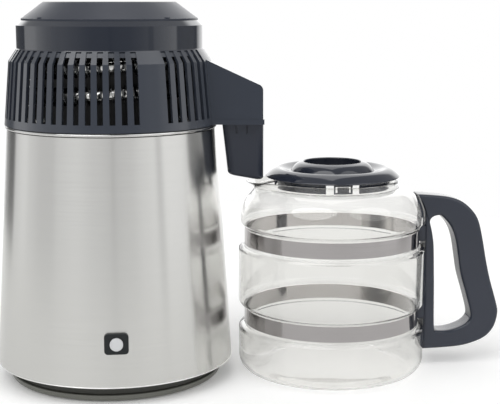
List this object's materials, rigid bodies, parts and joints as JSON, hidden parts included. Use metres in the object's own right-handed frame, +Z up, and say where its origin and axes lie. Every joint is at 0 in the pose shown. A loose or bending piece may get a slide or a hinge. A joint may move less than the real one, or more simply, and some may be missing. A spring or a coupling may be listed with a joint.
{
  "type": "countertop water distiller",
  "caption": "Countertop water distiller: steel boiler, lift-off finned-coil condenser head with fan, drip nozzle, and a banded glass carafe with handle and lid.",
  "frame": {"origin": "the middle of the boiler's base, on the bench", "axes": "+Z up, the reset button faces -Y, the spout arm and the carafe are on the +X side"},
  "size_m": [0.4994, 0.2353, 0.3621],
  "materials": {
    "shell_steel": "stainless sheet, brushed round",
    "pot_steel": "polished stainless",
    "band_steel": "satin stainless strip",
    "fastener_steel": "zinc plated",
    "element_steel": "oxidised steel sheath",
    "motor_metal": "plain plated can",
    "aluminium": "bare",
    "brass": "bare",
    "charcoal_plastic": "semi-gloss charcoal moulding",
    "black_plastic": "matte",
    "white_plastic": "gloss",
    "cream_plastic": "matte",
    "porcelain": "glazed porcelain",
    "pod_cloth": "soft filter cloth",
    "rubber": "matte",
    "seal_silicone": "soft silicone",
    "lead_silicone": "silicone insulation",
    "carafe_glass": "clear"
  },
  "bodies": {
    "boiler": {"base_pan": "charcoal_plastic", "rubber_feet": "rubber", "tie_rods": "fastener_steel", "tie_nuts": "fastener_steel", "outer_shell": "shell_steel", "boiler_pot": "pot_steel", "heater_disc": "aluminium", "heating_element": "element_steel", "heater_clamp": "fastener_steel", "clamp_stud": "fastener_steel", "clamp_nut": "brass", "thermostat": "cream_plastic", "reset_bezel": "charcoal_plastic", "reset_switch": "black_plastic", "reset_spring": "fastener_steel", "rear_panel": "charcoal_plastic", "power_inlet": "black_plastic", "inlet_pins": "brass", "fan_outlet": "black_plastic", "wiring": "lead_silicone"},
    "reset": {"reset_button": "white_plastic"},
    "head": {"head_housing": "charcoal_plastic", "dome_plate": "pot_steel", "head_seal": "seal_silicone", "dome_screws": "fastener_steel", "steam_riser": "pot_steel", "condenser_coil": "pot_steel", "coil_fins": "aluminium", "air_baffle": "black_plastic", "motor_bracket": "fastener_steel", "bracket_screws": "fastener_steel", "fan_motor": "motor_metal", "fan_cap": "charcoal_plastic", "cap_screws": "fastener_steel", "fan_grille": "black_plastic", "lead_gland": "rubber"},
    "fan": {"fan_shaft": "fastener_steel", "fan_rotor": "black_plastic"},
    "nozzle": {"nozzle_cup": "charcoal_plastic", "ceramic_insert": "porcelain", "charcoal_pod": "pod_cloth"},
    "carafe": {"carafe_glass": "carafe_glass", "lower_band": "band_steel", "upper_band": "band_steel", "carafe_handle": "charcoal_plastic", "band_screws": "fastener_steel"},
    "lid": {"carafe_lid": "charcoal_plastic", "vent_plug": "black_plastic"}
  },
  "joints": [
    {"name": "head_lift", "type": "slide", "parent": "boiler", "child": "head", "axis": [0, 0, 1], "range_m": [0, 0.12]},
    {"name": "fan_spin", "type": "hinge", "parent": "head", "child": "fan", "pos_m": [0, 0, 0.33], "axis": [0, 0, 1], "continuous": true},
    {"name": "reset_press", "type": "slide", "parent": "boiler", "child": "reset", "axis": [0, 1, 0], "range_m": [0, 0.0022], "stiffness_N_per_m": 600, "springref_m": -0.002, "deforming": ["reset_spring"]},
    {"name": "nozzle_pull", "type": "slide", "parent": "head", "child": "nozzle", "axis": [0, 0, -1], "range_m": [0, 0.0025]},
    {"name": "carafe_slide", "type": "slide", "parent": "boiler", "child": "carafe", "axis": [1, 0, 0], "range_m": [0, 0.2]},
    {"name": "lid_lift", "type": "slide", "parent": "carafe", "child": "lid", "axis": [0, 0, 1], "range_m": [0, 0.06]}
  ]
}
